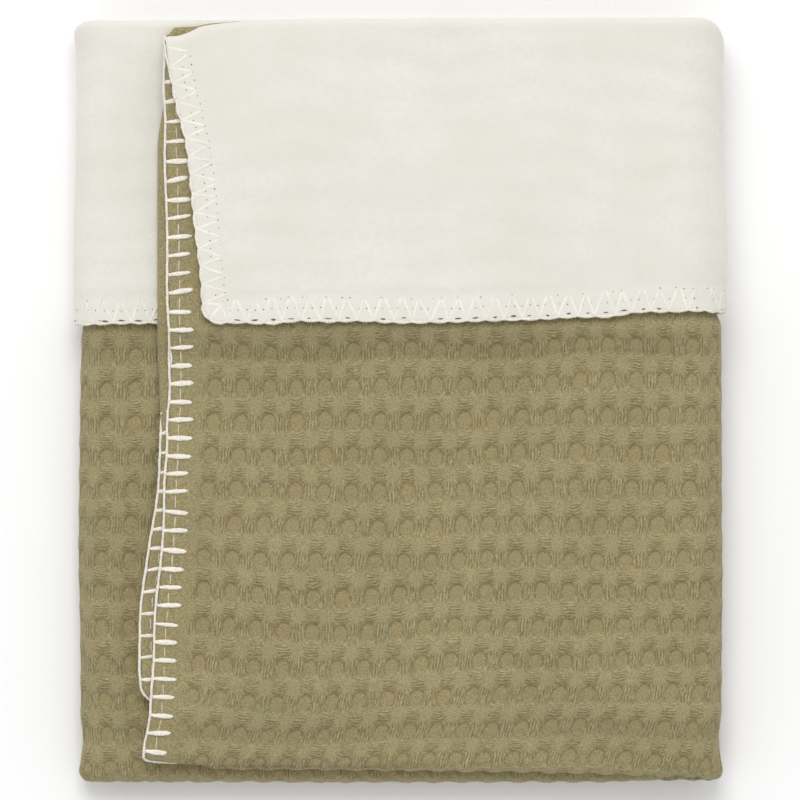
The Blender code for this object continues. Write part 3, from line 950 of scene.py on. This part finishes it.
def stitch_tree():
    """Sets a tapered stitch on each point, pointing inwards from the rim."""
    n = Nodes(bpy.data.node_groups.new("tapered stitches", "GeometryNodeTree"))
    given = named_inputs(n, Places=("Geometry", None), Width=("Float", 1.9 * MM), Height=("Float", 1.0 * MM),
                         Arch=("Float", 0.5), Blunt=("Float", 0.4), Pointed=("Float", 0.0), Rings=("Int", 8),
                         Points_round=("Int", 8), Tilt=("Float", 0.08), Unevenness=("Float", 0.1),
                         Seed=("Int", 1), Material=("Material", None))
    line = n.new("GeometryNodeCurvePrimitiveLine", {"Start": (0, 0, 0), "End": (1, 0, 0)})
    line = n.new("GeometryNodeResampleCurve", {"Curve": line, "Count": given["Rings"]}, mode="COUNT")
    share = n.new("GeometryNodeSplineParameter", output="Factor")
    root = n.ramp(share, -0.1, 0.50, given["Blunt"], 1.0)
    rounded = n.math("SQRT", n.math("MINIMUM", n.positive((1.005 - share) * 8.0), 1.0))
    tip = rounded * n.ramp(share, 0.45, 1.05, 1.0, 1.0 - given["Pointed"])
    circle = n.new("GeometryNodeCurvePrimitiveCircle", {"Resolution": given["Points_round"], "Radius": 0.5})
    stitch = n.new("GeometryNodeCurveToMesh", {"Curve": line, "Profile Curve": circle, "Scale": root * tip,
                                               "Fill Caps": True})
    position = n.new("GeometryNodeInputPosition")
    lift = n.math("SINE", n.split(position)[0] * math.pi) * given["Arch"]
    stitch = n.new("GeometryNodeSetPosition", {"Geometry": stitch, "Offset": n.vector(0, 0, lift)})

    def attribute(name, kind):
        return n.new("GeometryNodeInputNamedAttribute", {"Name": name}, data_type=kind)

    def chance(most, offset):
        """A number between minus this and this, and another one for each offset of the seed."""
        return n.new("FunctionNodeRandomValue", {2: -most, 3: most, "Seed": given["Seed"] + offset}, 1,
                     data_type="FLOAT")

    turn = n.new("FunctionNodeAxesToRotation", {"Primary Axis": attribute("inwards", "FLOAT_VECTOR"),
                                                "Secondary Axis": attribute("outwards", "FLOAT_VECTOR")},
                 primary_axis="X", secondary_axis="Z")
    tilt = n.vector(0, 0, given["Tilt"] * chance(1.0, 0))
    turn = n.new("FunctionNodeRotateRotation", {"Rotation": turn, "Rotate By": tilt}, rotation_space="LOCAL")
    uneven = given["Unevenness"]
    long = attribute("reach", "FLOAT") * (chance(0.5, 10) * uneven + 1.0)
    wide = given["Width"] * (chance(1.0, 20) * uneven + 1.0)
    size = n.vector(long, wide, given["Height"])
    stitches = n.new("GeometryNodeInstanceOnPoints", {"Points": given["Places"], "Instance": stitch,
                                                      "Rotation": turn, "Scale": size})
    stitches = n.new("GeometryNodeRealizeInstances", {"Geometry": stitches})
    rough = n.new("ShaderNodeTexNoise", {"Vector": position, "Scale": 700.0, "Detail": 1.0}, "Color")
    rough = n.new("ShaderNodeVectorMath", {0: rough, 1: (0.5, 0.5, 0.5)}, operation="SUBTRACT")
    rough = n.new("ShaderNodeVectorMath", {0: rough, 3: given["Width"] * uneven * 2.0}, operation="SCALE")
    stitches = n.new("GeometryNodeSetPosition", {"Geometry": stitches, "Offset": rough})
    return finished(n, stitches, given["Material"])


def on_cloth(number, depth, surface, lift):
    """A point just over the cloth at a stitch number and a depth in from the rim, and the way out there."""
    travel, row = rim.inside(number, depth)
    spot = Line([travel], [row])
    offset = surface(spot)[0][0, 0]
    side = math.copysign(1.0, offset)
    # Near the rim the cloth is rounded off, but the yarn goes on straight.
    least = 1.45 * MM if side > 0 else 1.15 * MM
    offset = side * (max(abs(offset), least) + lift)
    point = spot.place(offset)[0, 0]
    away = spot.place(offset + side * 0.1 * MM)[0, 0] - point
    return point, away / np.linalg.norm(away)


def seats(places, surface, lift):
    """Where each stitch starts, the way it points and the way out of the cloth. Each place gives the stitch
    number and the depth in from the rim of its start, and then of its end."""
    points, inwards, outwards, reach = [], [], [], []
    for number, depth, next_number, next_depth in places:
        start, away = on_cloth(number, depth, surface, lift)
        end, _ = on_cloth(next_number, next_depth, surface, lift)
        points.append(start)
        inwards.append(end - start)
        outwards.append(away)
        reach.append(np.linalg.norm(end - start))
    return points, (), {"inwards": inwards, "outwards": outwards, "reach": reach}


def along_rim(number, depth, length):
    """A place for a stitch that lies along the rim."""
    return number - length / STITCH / 2, depth, number + length / STITCH / 2, depth


tapered_stitches = stitch_tree()
TOOTH = 9.0 * MM
top_teeth = [(rim.top_number + k, 0.05 * MM, rim.top_number + k, TOOTH) for k in range(TOP_COUNT)]
face_stitches = sewn("face_stitches", tapered_stitches, *seats(top_teeth, outer_face, 0.15 * MM),
                     Width=2.00 * MM, Height=1.1 * MM, Arch=0.30, Blunt=0.55, Pointed=0.22, Rings=15,
                     Points_round=8, Tilt=0.10, Unevenness=0.15, Seed=5, Material=stitch_yarn)


def tucked_width(number):
    """How much of the tucked ply shows beside the top ply at a stitch."""
    at = np.interp(number, rim.number, rim.length)
    y = np.interp(at, rim.length, rim.middle[:, 1])
    return at_line("top", y) - at_line("tucked", y)


tucked_numbers = range(rim.tucked_number, rim.tucked_number + TUCKED_COUNT)
tucked_teeth = [(k, 0.05 * MM, k, tucked_width(k) + 0.6 * MM) for k in tucked_numbers]
tucked_stitches = sewn("tucked_stitches", tapered_stitches, *seats(tucked_teeth, outer_face, 0.02 * MM),
                       Width=1.60 * MM, Height=0.8 * MM, Arch=0.2, Blunt=0.55, Rings=6, Points_round=7, Tilt=0.10,
                       Unevenness=0.12, Seed=8, Material=stitch_yarn)

running_thread = yarn_material("running thread", (0.66, 0.60, 0.46, 1.0), (0.50, 0.44, 0.30, 1.0), 0.15)
RUNNING_DEPTH = 4.1 * MM
running = [along_rim(rim.top_number + k + 0.5, RUNNING_DEPTH, 4.4 * MM) for k in range(TOP_COUNT)]
running += [along_rim(k + 0.5, RUNNING_DEPTH, 3.6 * MM) for k in tucked_numbers[:-1]
            if tucked_width(k + 0.5) > RUNNING_DEPTH + 0.5 * MM]
running_stitch = sewn("running_stitch", tapered_stitches, *seats(running, outer_face, -0.02 * MM),
                      Width=0.58 * MM, Height=0.32 * MM, Arch=0.2, Blunt=0.6, Rings=6, Points_round=6, Tilt=0.10,
                      Unevenness=0.25, Seed=11, Material=running_thread)
face_sewing = [face_stitches, tucked_stitches, running_stitch]
for piece in face_sewing:
    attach(piece, "root")

# --------------------
# Blanket stitches on the lining.
# Behind the face's stitches the yarn goes from the edge yarn to each needle hole and back as a zigzag, finer
# and half sunk in the nap. Two rows of needle holes let the olive cloth show, and in the slits beside the edge
# yarn the olive cloth is shown dark, as painted shade.
# --------------------

# Depths in from the rim, in millimetres: the zigzag's feet and points, and the two rows of needle holes.
FOOT, POINT, HOLE_ROWS = 0.4, 8.9, ((5.1, 0.2), (9.1, 0.25))
HOLE_SPACING = 3.05
chance = np.random.default_rng(12)
last_number = rim.number[-1]
first_number = math.floor(np.interp(rim.at_row(0.97), rim.length, rim.number))
# The stitch numbers between which the hem lies on the ground, where nothing shows.
at_hem = rim.row == 0
back = [np.interp(np.interp(t, rim.travel[at_hem], rim.length[at_hem]), rim.length, rim.number) for t in (2.02, 2.98)]
seen = [k for k in range(first_number, int(last_number)) if not back[0] < k + 0.5 < back[1]]
feet = {k: k + chance.uniform(-0.08, 0.08) for k in range(first_number, int(last_number) + 1)}
zigzag = []
for k in seen:
    top, high = k + 0.5 + chance.uniform(-0.08, 0.08), (POINT + chance.uniform(-0.7, 0.6)) * MM
    zigzag += [(feet[k], FOOT * MM, top - 0.05, high), (feet[k + 1], FOOT * MM, top + 0.05, high)]
lining_yarn = yarn_material("lining stitch yarn", (0.84, 0.80, 0.73, 1.0), (0.77, 0.73, 0.66, 1.0), 0.25)
lining_stitches = sewn("lining_stitches", tapered_stitches, *seats(zigzag, lining_outer, 0.02 * MM),
                       Width=1.25 * MM, Height=0.44 * MM, Arch=0.12, Blunt=0.8, Rings=9, Points_round=8, Tilt=0.05,
                       Unevenness=0.10, Seed=6, Material=lining_yarn)

corner = np.interp(rim.at_row(0.0), rim.length, rim.number)
holes = []
for depth, spread in HOLE_ROWS:
    number = first_number + 0.2
    while number < last_number:
        number += HOLE_SPACING * MM / STITCH * (1 + chance.uniform(-0.1, 0.1))
        # Along the hem the nap hides most of the row that lies further in.
        likely = 0.9 if depth < 6 or number < corner else 0.35
        if not back[0] < number < back[1] and chance.random() < likely:
            holes.append(along_rim(number, (depth + chance.uniform(-spread, spread)) * MM, 0.5 * MM))
hole_olive = yarn_material("olive under the holes", (0.30, 0.26, 0.15, 1.0), (0.20, 0.17, 0.09, 1.0), 0.1)
needle_holes = sewn("needle_holes", tapered_stitches, *seats(holes, lining_outer, 0.0),
                    Width=0.42 * MM, Height=0.16 * MM, Arch=0.1, Blunt=0.7, Rings=5, Points_round=6, Tilt=0.5,
                    Unevenness=0.4, Seed=14, Material=hole_olive)
# The slits beside the edge yarn are filled with very dark olive: painted shade on the cloth in the gap.
shade_olive = yarn_material("shaded olive in the slits", (0.20, 0.18, 0.12, 1.0), (0.11, 0.10, 0.06, 1.0), 0.0)
slits = []
# The yarn stands further off the hem by the left fold, so that the slits are longer and wider there.
for name, first, last, least, most, width in (("hem_slit_shade", corner, back[0], 1.0, 3.0, 0.60),
                                              ("left_hem_slit_shade", back[1], last_number, 2.6, 4.8, 0.95)):
    places = [along_rim(k + 0.5 + chance.uniform(-0.12, 0.12), (1.15 + chance.uniform(-0.15, 0.25)) * MM,
                        chance.uniform(least, most) * MM)
              for k in seen if first < k < last and chance.random() < 0.85]
    slits.append(sewn(name, tapered_stitches, *seats(places, lining_outer, 0.02 * MM),
                      Width=width * MM, Height=0.26 * MM, Arch=0.1, Blunt=0.3, Pointed=0.5, Rings=7, Points_round=6,
                      Tilt=0.12, Unevenness=0.4, Seed=15, Material=shade_olive))
for piece in (lining_stitches, needle_holes, *slits):
    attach(piece, "root")

# --------------------
# Ground, light and camera.
# A plain pale floor, even light all round, and one large soft light over the end with the turned-down band.
# The camera looks straight down with a long lens, at 2.55 pixels to a millimetre at the band's height.
# --------------------

floor_mesh = bpy.data.meshes.new("floor")
reach = 12.0
corners = [(x * reach, y * reach, 0) for x, y in ((-1, -1), (1, -1), (1, 1), (-1, 1))]
floor_mesh.from_pydata(corners, [], [(0, 1, 2, 3)])
floor = bpy.data.objects.new("floor", floor_mesh)
bpy.context.scene.collection.objects.link(floor)
floor_material = bpy.data.materials.new("pale floor")
floor_material.use_nodes = True
floor_shader = floor_material.node_tree.nodes["Principled BSDF"]
floor_shader.inputs["Base Color"].default_value = (0.92, 0.92, 0.92, 1.0)
floor_shader.inputs["Roughness"].default_value = 0.9
floor_mesh.materials.append(floor_material)
floor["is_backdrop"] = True

world = bpy.data.worlds.new("studio")
bpy.context.scene.world = world
world.use_nodes = True
world.node_tree.nodes["Background"].inputs[0].default_value = (1.0, 1.0, 1.0, 1.0)
world.node_tree.nodes["Background"].inputs[1].default_value = 0.78


def soft_light(name, place, size, power):
    data = bpy.data.lights.new(name, "AREA")
    data.shape, data.size, data.energy = "SQUARE", size, power
    lamp = bpy.data.objects.new(name, data)
    lamp.location = place
    aim = -np.array(place) / np.linalg.norm(place)
    lamp.rotation_mode = "QUATERNION"
    lamp.rotation_quaternion = Vector(aim).to_track_quat("-Z", "Y")
    bpy.context.scene.collection.objects.link(lamp)
    return lamp


soft_light("softbox", (-0.15, 1.45, 2.2), 1.5, 31.0)

camera_data = bpy.data.cameras.new("camera")
camera_height, band_height = 4.0, 0.035
view_width = 800 / 2.55 * MM
camera_data.lens = camera_data.sensor_width * (camera_height - band_height) / view_width
camera_data.clip_end = 50
camera = bpy.data.objects.new("camera", camera_data)
camera.location = (0.1 * MM, 0, camera_height)
bpy.context.scene.collection.objects.link(camera)
bpy.context.scene.camera = camera
bpy.context.scene.view_settings.view_transform = "Standard"

low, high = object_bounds()
